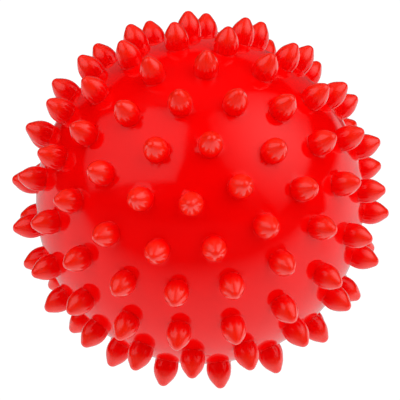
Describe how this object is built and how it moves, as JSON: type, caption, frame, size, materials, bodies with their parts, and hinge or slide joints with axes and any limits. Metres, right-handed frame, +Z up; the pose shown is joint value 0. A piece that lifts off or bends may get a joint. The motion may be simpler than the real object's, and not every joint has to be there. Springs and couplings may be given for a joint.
{
  "type": "massage ball",
  "caption": "Hollow soft round massage ball covered all over in short pointed spikes, with a snap-in valve seat and a pull-out stopper.",
  "frame": {"origin": "centre of the ball", "axes": "+Z up with the ball at rest on three spike tips; +X to the right and +Y away from someone facing the side with the first mould pole; the valve looks down and away from them"},
  "size_m": [0.0897, 0.0894, 0.0885],
  "materials": {
    "red_pvc": "soft glossy PVC, moulded in one colour",
    "red_valve": "satin moulded PVC",
    "natural_plug": "satin unpigmented plastic"
  },
  "bodies": {
    "ball": {"ball_skin": "red_pvc", "valve_seat": "red_valve"},
    "plug": {"valve_plug": "natural_plug"}
  },
  "joints": [
    {"name": "plug_pull", "type": "slide", "parent": "ball", "child": "plug", "axis": [0.1212, 0.6601, -0.7413], "range_m": [0, 0.012]}
  ]
}
